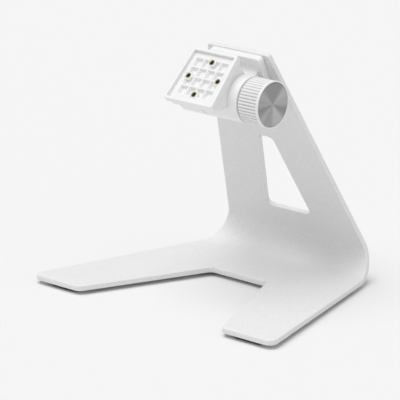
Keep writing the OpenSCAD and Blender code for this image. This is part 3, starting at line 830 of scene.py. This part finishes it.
def pan_head(origin, along, aside, radius, height, socket, deep):
    """Pan head with a six-sided socket: its dome falls away evenly, and the socket's rows are
    stretched from circles to a hexagon."""
    dome = np.linspace(0, 1, 7)
    rim = [[height * (1 - k ** 3 * 0.55), socket * 1.25 + (radius - socket * 1.25) * k] for k in dome]
    profile = [[-1.0 * MM, 0], [-1.0 * MM, radius * 0.5], [0, radius * 0.5], [0, radius * 0.97],
               [0.15 * height, radius]]
    profile += rim[::-1]
    start = len(profile)
    profile += [[height, socket], [height - 0.12 * MM, socket * 0.97], [height - deep, socket * 0.95],
                [height - deep - 0.4 * MM, 0]]
    swell = six_sided([start, start + 1, start + 2])
    return lathe(profile, origin, along, aside, 48, swell=swell)


def washer_shell(origin, along, aside, outer, inner, height):
    """Split lock washer: a square section carried most of a turn round, its ends lifted apart."""
    turn = np.linspace(0.12, 2 * PI - 0.12, 60)
    section = rectangle((outer - inner) / 2, height / 2, 0.15 * MM, 2)
    along, aside = np.asarray(along, float), np.asarray(aside, float)
    across = np.cross(along, aside)
    round_about = np.cos(turn)[:, None] * aside + np.sin(turn)[:, None] * across
    lift = (turn / (2 * PI) - 0.5) * 0.5 * MM
    radius = section[:, 0] + (outer + inner) / 2
    rise = section[:, 1][None] + height / 2 + lift[:, None]
    loops = np.asarray(origin) + round_about[:, None] * radius[None, :, None]
    return loft(loops + rise[..., None] * along)


def tray_ring(margin, radius):
    """Tray's outline drawn in by a margin: a trapezium with rounded corners, wider at its bottom."""
    head = settings("head")
    half = head.tray_height / 2 - margin
    middle = (head.tray_width + head.tray_top) / 4
    slope = (head.tray_width - head.tray_top) / 2 / head.tray_height
    low, high = middle + slope * half - margin, middle - slope * half - margin
    corners = [[low, -half], [high, half], [-high, half], [-low, -half]]
    return round_corners(corners, max(radius, 1e-6), 7)


def head_loop(ring, height):
    """Outline on the mount face at one height, as points in head coordinates."""
    drop = settings("head").tray_drop
    rise = np.full((len(ring), 1), height)
    return np.concatenate([ring - [0, drop], rise], 1)


def tray_rim_shell():
    """Tray rim: the tray's outline carried round a closed profile of inset and height."""
    head = settings("head")
    face = head.tray_face
    back = face - head.tray_thickness
    rim = head.tray_rim
    floor = face - head.pocket
    profile = round_corners(
        [[6 * MM, back], [0.1 * MM, back], [0, face], [rim, face], [rim + 0.08 * MM, floor - 0.5 * MM],
         [6 * MM, floor - 0.5 * MM]],
        np.array([0.05, 0.4, 0.6, 0.4, 0.05, 0.05]) * MM, 5)
    loops = [head_loop(tray_ring(i, 2.2 * MM - min(i, 1.4 * MM)), h) for i, h in profile]
    points, faces = loft(loops, ring=True)
    return placed(points, head_axes()), faces


def waffle_shell():
    """Pocket floor with its cells: height = floor - depth * min(f(across), f(up)), where f climbs
    from 0 on a rib to 1 in a cell through a rounded lip, a drafted wall and a rounded foot. A
    square round each insert is sunk too, so that its boss and its bore stay open."""
    head = settings("head")
    pitch, half_rib = head.rib_pitch, head.rib_thickness / 2
    floor = head.tray_face - head.pocket
    reach = np.array([-0.25, -0.02, 0.1, 0.25, 1.1, 2.0, 2.25, 2.5, 2.9]) * MM
    fall = np.array([0.0, 0.012, 0.05, 0.12, 0.54, 0.93, 0.975, 0.995, 1.0])
    cells = (np.arange(4) - 1.5) * pitch
    half_cell = pitch / 2 - half_rib
    sunk = 2.4 * MM
    reach_in = np.array([2.3, 3.0]) * MM
    lines = np.concatenate([
        (cells[:, None] - half_cell + reach[None]).ravel(),
        (cells[:, None] + half_cell - reach[None]).ravel(),
        cells, [-2.55 * pitch, 2.55 * pitch], reach_in, -reach_in,
        -(head.insert_reach + reach_in), head.insert_reach + reach_in,
        -(head.insert_reach - reach_in), head.insert_reach - reach_in,
    ])
    lines = np.unique(np.round(lines, 7))
    into = half_cell - np.min(abs(lines[:, None] - cells[None]), 1)
    share = np.interp(into, reach, fall)
    depth = np.minimum(share[:, None], share[None, :])
    across, up = np.meshgrid(lines, lines, indexing="ij")
    wide, small = np.maximum(abs(across), abs(up)), np.minimum(abs(across), abs(up))
    bored = np.maximum(abs(wide - head.insert_reach), small) < sunk
    depth = np.where(bored, 1.0, depth)
    slope = (head.tray_width - head.tray_top) / 2 / head.tray_height
    middle = (head.tray_width + head.tray_top) / 4 - head.tray_rim * 0.6
    border = np.sign(across) * (middle - slope * up)
    across = np.where(abs(across) > 2.5 * pitch, border, across)
    top = np.stack([across, up - head.tray_drop, floor - head.cell_depth * depth], -1)
    under = top.copy()
    under[..., 2] = floor - head.cell_depth - 0.9 * MM
    count = len(lines)
    faces = quads(count, count)
    index = np.arange(count * count).reshape(count, count)
    edge = np.concatenate([index[:-1, 0], index[-1, :-1], index[:0:-1, -1], index[0, :0:-1]])
    ahead = np.roll(edge, -1)
    side = np.stack([edge, ahead, ahead + count * count, edge + count * count], -1)
    points = np.concatenate([top.reshape(-1, 3), under.reshape(-1, 3)])
    return placed(points, head_axes()), np.concatenate([faces, faces[:, ::-1] + count * count, side])


def insert_places():
    """Middle of each mounting insert on the pocket floor, in head coordinates."""
    head = settings("head")
    angle = np.arange(4) * PI / 2
    place = np.stack([np.cos(angle), np.sin(angle), np.zeros(4)], -1) * head.insert_reach
    return place + [0, -head.tray_drop, head.tray_face - head.pocket]


def boss_shells():
    """Bosses: turned rings with a rounded lip, each round its insert."""
    head = settings("head")
    axes = head_axes()
    deep = head.cell_depth + 0.5 * MM
    inner = head.insert_radius - 0.2 * MM
    profile = round_corners(
        [[-deep, inner], [-deep, head.boss_radius + 0.15 * MM], [0.04 * MM, head.boss_radius],
         [0.04 * MM, inner]], np.array([0.02, 0.05, 0.3, 0.02]) * MM, 5)
    return [lathe(profile, placed(p, axes), axes[2], axes[1], 40, ring=True) for p in insert_places()]


def insert_shells():
    """Brass inserts: a chamfered collar, as a closed profile turned into a ring."""
    head = settings("head")
    axes = head_axes()
    bore = head.insert_bore / 2
    foot, top = -4.1 * MM, 0.12 * MM
    profile = round_corners(
        [[foot, bore + 0.3 * MM], [foot, head.insert_radius], [top, head.insert_radius],
         [top, bore + 0.05 * MM], [-0.35 * MM, bore - 0.1 * MM]],
        np.array([0.02, 0.05, 0.1, 0.05, 0.02]) * MM, 4)
    return [lathe(profile, placed(p, axes), axes[2], axes[1], 36, ring=True) for p in insert_places()]


def thread_shells():
    """Threads in the inserts: a blind bore whose radius waves with its depth."""
    head = settings("head")
    axes = head_axes()
    bore = head.insert_bore / 2
    start, run, crests = -0.2 * MM, 3.6 * MM, 8
    outer, foot = bore + 0.35 * MM, -4.0 * MM
    share = np.linspace(0, 1, 41)
    wave = bore - 0.02 * MM + 0.12 * MM * np.cos(share * 2 * PI * crests)
    thread = np.stack([start - run * share, wave], -1)
    profile = np.concatenate([
        [[foot, 0], [foot, outer], [start, outer]], thread, [[start - run, 0]]])
    return [lathe(profile, placed(p, axes), axes[2], axes[1], 36) for p in insert_places()]


HOUSING_ARC = 25


def housing_side(edge, back, arc_end):
    """One side of the housing's outline: from the tray's back round its rim to the arc's end."""
    rim = back - 4.4 * MM
    corner = [[0, back], [edge, back], [edge, rim], arc_end, [0, 9 * MM]]
    return round_corners(corner, np.array([1e-6, 0.3, 1.6, 1e-6, 1e-6]) * MM, 4)[5:15]


def housing_loops():
    """Housing's outline in the head's side view (back of the tray, tapering ends, arc round the
    barrel), once for each place across the head. The ends draw in by the corner's rounding and
    lean with the tray, and the arc is larger right of the knuckle, where the barrel runs."""
    head = settings("head")
    back = head.tray_face - head.tray_thickness
    rounding = 3 * MM
    foot = 10 * MM
    swing = np.linspace(0, PI / 2, 7)
    inner = (head.tray_width + head.tray_top) / 4 - head.housing_margin - rounding
    ends = inner + rounding * np.sin(swing)
    draw = rounding * (1 - np.cos(swing))
    across = np.r_[-ends[::-1], -head.knuckle_right, -head.knuckle_right + 0.05 * MM, ends]
    draw = np.r_[draw[::-1], 0, 0, draw]
    share = np.where(across <= -head.knuckle_right, 0.965, 1.008)
    half = head.tray_height / 2 - head.housing_margin
    low, top = -half - head.tray_drop, half - head.tray_drop
    lean = (head.tray_width - head.tray_top) / 2 / head.tray_height
    loops = []
    for x, inward, radius in zip(across, draw, share * settings("bracket").barrel_radius):
        angle = math.asin(min(foot / radius, 1))
        turn = np.linspace(PI - angle, angle, HOUSING_ARC)
        arc = np.stack([radius * np.cos(turn), radius * np.sin(turn)], -1)
        left = housing_side(low + inward, back, arc[0])
        right = housing_side(top - inward, back, arc[-1])[::-1]
        upper = np.linspace(right[-1][0], left[0][0], HOUSING_ARC + 2)[1:-1]
        upper = np.stack([upper, np.full(HOUSING_ARC, back)], -1)
        whole = np.concatenate([left, arc, right, upper])
        leaning = x * (1 - lean * (whole[:, 0] + head.tray_drop) / inner)
        place = leaning if abs(x) > inner * 0.99 else np.full(len(whole), x)
        loops.append(np.column_stack([place, whole]))
    return np.array(loops)


def housing_shell():
    """Skin over the housing's loops. Each end is closed by a strip between the arc and the tray's
    back, and by a polygon at each taper."""
    loops = housing_loops()
    count = loops.shape[1]
    side = (count - 2 * HOUSING_ARC) // 2
    arc_at = side + np.arange(HOUSING_ARC)
    up_at = 2 * side + HOUSING_ARC + np.arange(HOUSING_ARC)[::-1]
    strip = np.stack([arc_at[:-1], arc_at[1:], up_at[1:], up_at[:-1]], -1)
    low_fan = np.r_[up_at[0], np.arange(side), arc_at[0]]
    top_fan = np.r_[arc_at[-1], side + HOUSING_ARC + np.arange(side), up_at[-1]]
    cells = quads(len(loops), count, False, True).tolist()
    for start in (0, (len(loops) - 1) * count):
        cells += (strip + start).tolist()
        cells += [(low_fan + start).tolist(), (top_fan + start).tolist()]
    return placed(loops.reshape(-1, 3), head_axes()), cells


def knuckle_shell():
    """Head's knuckle: turned body, rounded at the outer end, with a step where the plug sits."""
    head = settings("head")
    bracket = settings("bracket")
    left, right, radius = -head.knuckle_left, -head.knuckle_right, bracket.barrel_radius
    profile = smooth_profile(
        [[left + 1.2 * MM, 0], [left + 1.2 * MM, 11 * MM], [left, 11.2 * MM], [left, radius],
         [right, radius], [right, 0]], np.array([0, 0.2, 0.3, 1.0, 0.4, 0]) * MM)
    axes = head_axes()
    return lathe(profile, AXIS, axes[0], axes[1], 160)


def plug_shell():
    """End plug: shallow dish with a raised middle button."""
    left = float(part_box("end_plug")[0][0])
    profile = smooth_profile(
        [[left + 2.5 * MM, 0], [left + 2.5 * MM, 10.7 * MM], [left + 0.1 * MM, 10.7 * MM],
         [left + 0.1 * MM, 9.2 * MM], [left + 0.7 * MM, 8.4 * MM], [left + 0.7 * MM, 3 * MM],
         [left + 0.35 * MM, 2 * MM], [left + 0.35 * MM, 0]],
        np.array([0, 0.1, 0.3, 0.3, 0.6, 0.5, 0.4, 0]) * MM)
    axes = head_axes()
    return lathe(profile, AXIS, axes[0], axes[1], 96)


def knob_shell():
    """Knob grip: a turned profile whose radius dips between ribs. The dip follows the angle's
    place within one rib, and fades out over the last rows before the smooth ring."""
    knob = settings("knob")
    left, right, radius = knob.left, knob.right, knob.radius
    smooth = right - knob.smooth
    inner = knob.disc_radius
    rows = [[left + 0.6 * MM, 0, 0], [left, 9 * MM, 0], [left, radius - 1.5 * MM, 0],
            [left + 0.1 * MM, radius - 0.9 * MM, 0.2], [left + 0.5 * MM, radius - 0.35 * MM, 0.75],
            [left + 1.0 * MM, radius - 0.2 * MM, 1], [left + 8 * MM, radius - 0.2 * MM, 1],
            [smooth - 0.5 * MM, radius - 0.2 * MM, 1], [smooth - 0.12 * MM, radius - 0.2 * MM, 0.95],
            [smooth, radius - 0.2 * MM, 0.6], [smooth + 0.05 * MM, radius - 0.05 * MM, 0],
            [smooth + 0.2 * MM, radius, 0], [right - 0.45 * MM, radius, 0],
            [right - 0.13 * MM, radius - 0.1 * MM, 0], [right, radius - 0.4 * MM, 0],
            [right - 0.02 * MM, inner + 0.12 * MM, 0], [right - 0.15 * MM, inner, 0],
            [right - 1.1 * MM, inner - 0.02 * MM, 0], [right - 1.1 * MM, 0, 0]]
    rows = np.array(rows)
    place = np.array([0.12, 0.18, 0.24, 0.30, 0.35, 0.41, 0.65, 0.89, 0.95])
    dip = np.array([0.96, 1.0, 0.96, 0.55, 0.12, 0.0, 0.0, 0.12, 0.55])
    angle = ((np.arange(knob.ribs)[:, None] + place[None]) / knob.ribs * 2 * PI).ravel()
    groove = np.tile(dip, knob.ribs)
    axes = head_axes()
    radii = rows[:, 1:2] - rows[:, 2:3] * groove[None] * knob.rib_depth
    round_about = np.cos(angle)[:, None] * axes[1] + np.sin(angle)[:, None] * axes[2]
    loops = AXIS + rows[:, :1, None] * axes[0] + radii[..., None] * round_about[None]
    return loft(loops)


def disc_shell():
    """Knob disc: faced plate, very slightly dished, with a narrow bevel at its rim."""
    knob = settings("knob")
    front = knob.right - 0.12 * MM
    radius = knob.disc_radius - 0.12 * MM
    reach = np.linspace(radius - 0.35 * MM, 0, 24)
    face = np.stack([front - 0.12 * MM * (1 - (reach / radius) ** 2), reach], -1)
    profile = np.concatenate([[[front - 0.9 * MM, 0], [front - 0.9 * MM, radius],
                               [front - 0.22 * MM, radius]], face])
    axes = head_axes()
    return lathe(profile, AXIS, axes[0], axes[1], 128)


def add_around(made):
    """UV map whose first coordinate is the angle about the tilt axis and whose second is the
    distance from it; each face unwraps about its own middle, so no face spans the seam."""
    mesh = made.data
    axes = head_axes()
    co = np.zeros(len(mesh.vertices) * 3)
    mesh.vertices.foreach_get("co", co)
    rel = co.reshape(-1, 3) - AXIS
    side, rise = rel @ axes[1], rel @ axes[2]
    corner = np.zeros(len(mesh.loops), int)
    mesh.loops.foreach_get("vertex_index", corner)
    sizes = np.zeros(len(mesh.polygons), int)
    mesh.polygons.foreach_get("loop_total", sizes)
    face = np.repeat(np.arange(len(sizes)), sizes)
    middle_side = np.bincount(face, side[corner]) / sizes
    middle_rise = np.bincount(face, rise[corner]) / sizes
    middle = np.arctan2(middle_rise, middle_side)[face]
    angle = np.arctan2(rise[corner], side[corner])
    away = (angle - middle + PI) % (2 * PI) - PI
    reach = np.hypot(side, rise)[corner]
    away = np.where(reach < 1e-6, 0, away)
    values = np.stack([(middle + away) / (2 * PI), reach / 0.02], -1)
    layer = mesh.uv_layers.new(name="around")
    layer.data.foreach_set("uv", values.ravel())


# ---------------------------------------------------------------- operators

class StandOperator:
    """What every piece's operator shares."""

    bl_options = {"REGISTER", "UNDO"}


class STAND_OT_sheet(StandOperator, bpy.types.Operator):
    """Builds the bent sheet with legs, base, bend and windowed upright"""

    bl_idname = "stand.sheet"
    bl_label = "Bent sheet"

    def execute(self, context):
        shells = [stand_sheet_shell()]
        piece("bent_sheet", shells, "stand", finish("coat"), ["stand_sheet"])
        return {"FINISHED"}


class STAND_OT_pads(StandOperator, bpy.types.Operator):
    """Builds the rubber pads under the legs and the base"""

    bl_idname = "stand.pads"
    bl_label = "Foot pads"

    def execute(self, context):
        for name in ("front_pads", "rear_pads"):
            piece(name + "_rubber", pad_shells(name), "stand", finish("rubber"), [name])
        return {"FINISHED"}


class STAND_OT_bracket(StandOperator, bpy.types.Operator):
    """Builds the hinge bracket: plate, neck and fixed barrel"""

    bl_idname = "stand.bracket"
    bl_label = "Hinge bracket"

    def execute(self, context):
        shells = [plate_shell(), neck_shell(), barrel_shell()]
        piece("bracket_casting", shells, "stand", finish("plastic"), ["hinge_bracket"])
        return {"FINISHED"}


class STAND_OT_bracket_screws(StandOperator, bpy.types.Operator):
    """Builds the pan-head screws and split washers behind the upright"""

    bl_idname = "stand.bracket_screws"
    bl_label = "Bracket screws"

    def execute(self, context):
        bracket = settings("bracket")
        sheet = settings("sheet")
        axes = bracket_axes()
        back = -bracket.axis_height - sheet.thickness
        heads, rings = [], []
        radius, height = bracket.pan_radius, bracket.pan_height
        for x in (-bracket.screw_side, bracket.screw_side):
            for y in (bracket.screw_top, -bracket.screw_low):
                seat = placed([x, y, back], axes)
                rings.append(washer_shell(seat, -axes[2], axes[1], radius, 2.1 * MM, 0.9 * MM))
                seat = placed([x, y, back - bracket.washer], axes)
                heads.append(pan_head(seat, -axes[2], axes[1], radius, height, 1.45 * MM, 1.4 * MM))
        piece("bracket_pan_heads", heads, "stand", finish("zinc"), ["bracket_screws"])
        piece("split_washers", rings, "stand", finish("zinc"), ["lock_washers"])
        return {"FINISHED"}


class STAND_OT_tray(StandOperator, bpy.types.Operator):
    """Builds the mount tray: rim, ribbed pocket and bosses"""

    bl_idname = "stand.tray"
    bl_label = "Mount tray"

    def execute(self, context):
        shells = [tray_rim_shell(), waffle_shell()] + boss_shells()
        piece("ribbed_tray", shells, "head", finish("plastic"), ["mount_tray"])
        return {"FINISHED"}


class STAND_OT_inserts(StandOperator, bpy.types.Operator):
    """Builds the four threaded brass inserts"""

    bl_idname = "stand.inserts"
    bl_label = "Brass inserts"

    def execute(self, context):
        piece("insert_collars", insert_shells(), "head", finish("brass"), ["mounting_inserts"])
        # the bores take the near-black finish: painted shade inside the holes
        piece("insert_threads", thread_shells(), "head", finish("thread"))
        return {"FINISHED"}


class STAND_OT_housing(StandOperator, bpy.types.Operator):
    """Builds the head's housing with its knuckle, the end plug and the housing screws"""

    bl_idname = "stand.housing"
    bl_label = "Head housing"

    def execute(self, context):
        head = settings("head")
        axes = head_axes()
        shells = [housing_shell(), knuckle_shell()]
        piece("head_shell", shells, "head", finish("plastic"), ["head_housing"])
        piece("dished_plug", [plug_shell()], "head", finish("plastic"), ["end_plug"])
        reach = head.tray_height / 2 - head.screw_inset
        slope = (head.tray_width - head.tray_top) / 2 / head.tray_height
        middle = (head.tray_width + head.tray_top) / 4 - head.screw_inset
        back = head.tray_face - head.tray_thickness - head.screw_depth
        heads = []
        for side in (-1, 1):
            for y in (-reach, reach):
                seat = placed([side * (middle - slope * y), y - head.tray_drop, back], axes)
                heads.append(pan_head(seat, -axes[2], axes[1], 2.2 * MM, 1.2 * MM, 0.9 * MM, 0.8 * MM))
        piece("housing_pan_heads", heads, "head", finish("zinc"), ["housing_screws"])
        return {"FINISHED"}


class STAND_OT_knob(StandOperator, bpy.types.Operator):
    """Builds the knob's grip and its turned disc"""

    bl_idname = "stand.knob"
    bl_label = "Clamp knob"

    def execute(self, context):
        shells = [knob_shell()]
        piece("ribbed_grip", shells, "knob", finish("plastic"), ["knob_grip"])
        disc = piece("turned_disc", [disc_shell()], "knob", finish("disc"), ["knob_disc"])
        add_around(disc)
        return {"FINISHED"}


class STAND_OT_inner_parts(StandOperator, bpy.types.Operator):
    """Gives the fitted parts inside the hinge their finishes"""

    bl_idname = "stand.inner_parts"
    bl_label = "Inner parts"

    def execute(self, context):
        finishes = {
            "bracket_inserts": "brass", "inner_bush": "brass", "outer_bush": "brass",
            "inner_friction_ring": "fibre", "outer_friction_ring": "fibre",
            "clamp_spindle": "zinc", "tilt_stop_pin": "zinc", "retaining_clip": "zinc",
            "thrust_washer": "zinc", "disc_springs": "zinc", "knob_nut": "brass",
        }
        for name, kind in finishes.items():
            part = frame["nodes"][name]
            if not part.material_slots:
                part.data.materials.append(finish(kind))
            for place in part.material_slots:
                place.material = finish(kind)
        return {"FINISHED"}


class STAND_OT_stage(StandOperator, bpy.types.Operator):
    """Builds the floor, the soft light and the camera"""

    bl_idname = "stand.stage"
    bl_label = "Studio"

    def execute(self, context):
        studio = settings("studio")
        reach = 6.0
        u, v = np.meshgrid(np.linspace(-reach, reach, 9), np.linspace(-reach, reach, 9), indexing="ij")
        mesh = bpy.data.meshes.new("floor")
        points = np.stack([u, v, np.zeros_like(u)], -1).reshape(-1, 3)
        mesh.from_pydata(points.tolist(), [], quads(9, 9)[:, ::-1].tolist())
        mesh.materials.append(finish("floor"))
        floor = bpy.data.objects.new("floor", mesh)
        context.scene.collection.objects.link(floor)
        world = bpy.data.worlds.new("soft_studio")
        world.use_nodes = True
        sky = world.node_tree.nodes["Background"]
        sky.inputs["Color"].default_value = (1.0, 1.0, 1.0, 1.0)
        sky.inputs["Strength"].default_value = studio.sky
        context.scene.world = world
        # name, strength, width in degrees, and how far it leans to the front and to the side
        lamps = (
            ("overhead", studio.sun, 50, (math.radians(15), math.radians(-7), 0.0)),
            ("side", studio.side, 70, (math.radians(6), math.radians(56), 0.0)),
        )
        for name, strength, width, turn in lamps:
            light = bpy.data.lights.new(name, "SUN")
            light.energy = strength
            light.angle = math.radians(width)
            lamp = bpy.data.objects.new(name, light)
            lamp.rotation_euler = turn
            context.scene.collection.objects.link(lamp)
        camera = bpy.data.cameras.new("camera")
        camera.lens = studio.lens
        camera.sensor_width = 36.0
        camera.clip_end = 50.0
        eye = bpy.data.objects.new("camera", camera)
        flat = math.cos(studio.elevation)
        away = np.array([
            math.sin(studio.azimuth) * flat, -math.cos(studio.azimuth) * flat, math.sin(studio.elevation)])
        eye.location = np.array(studio.aim) + away * studio.distance
        eye.rotation_euler = (PI / 2 - studio.elevation, 0.0, studio.azimuth)
        context.scene.collection.objects.link(eye)
        context.scene.camera = eye
        context.scene.view_settings.view_transform = "Standard"
        return {"FINISHED"}


PIECES = (
    STAND_OT_stage, STAND_OT_sheet, STAND_OT_pads, STAND_OT_bracket, STAND_OT_bracket_screws,
    STAND_OT_tray, STAND_OT_inserts, STAND_OT_housing, STAND_OT_knob, STAND_OT_inner_parts,
)


class STAND_PT_panel(bpy.types.Panel):
    """Lists the stand's pieces and its sizes"""

    bl_idname = "STAND_PT_panel"
    bl_label = "Display Stand"
    bl_space_type = "VIEW_3D"
    bl_region_type = "UI"
    bl_category = "Stand"

    def draw(self, context):
        column = self.layout.column(align=True)
        for kind in PIECES:
            column.operator(kind.bl_idname, text=kind.bl_label)
        for name in SETTINGS:
            group = settings(name)
            box = self.layout.box()
            box.label(text=name.capitalize())
            for key in type(group).__annotations__:
                box.prop(group, key)


CLASSES = (*SETTINGS.values(), *PIECES, STAND_PT_panel)


def register():
    """Registers the classes and puts the property groups on the scene."""
    for kind in CLASSES:
        bpy.utils.register_class(kind)
    for name, kind in SETTINGS.items():
        setattr(bpy.types.Scene, "stand_" + name, PointerProperty(type=kind))


def unregister():
    """Takes the property groups and the classes away again."""
    for name in SETTINGS:
        delattr(bpy.types.Scene, "stand_" + name)
    for kind in reversed(CLASSES):
        bpy.utils.unregister_class(kind)


def corners(box):
    """A box as plain lists of numbers."""
    return [[float(value) for value in corner] for corner in box]


def main():
    """Makes every piece."""
    register()
    bpy.ops.stand.stage()
    bpy.ops.stand.sheet()
    bpy.ops.stand.pads()
    bpy.ops.stand.bracket()
    bpy.ops.stand.bracket_screws()
    bpy.ops.stand.tray()
    bpy.ops.stand.inserts()
    bpy.ops.stand.housing()
    bpy.ops.stand.knob()
    bpy.ops.stand.inner_parts()


if __name__ == "__main__":
    main()
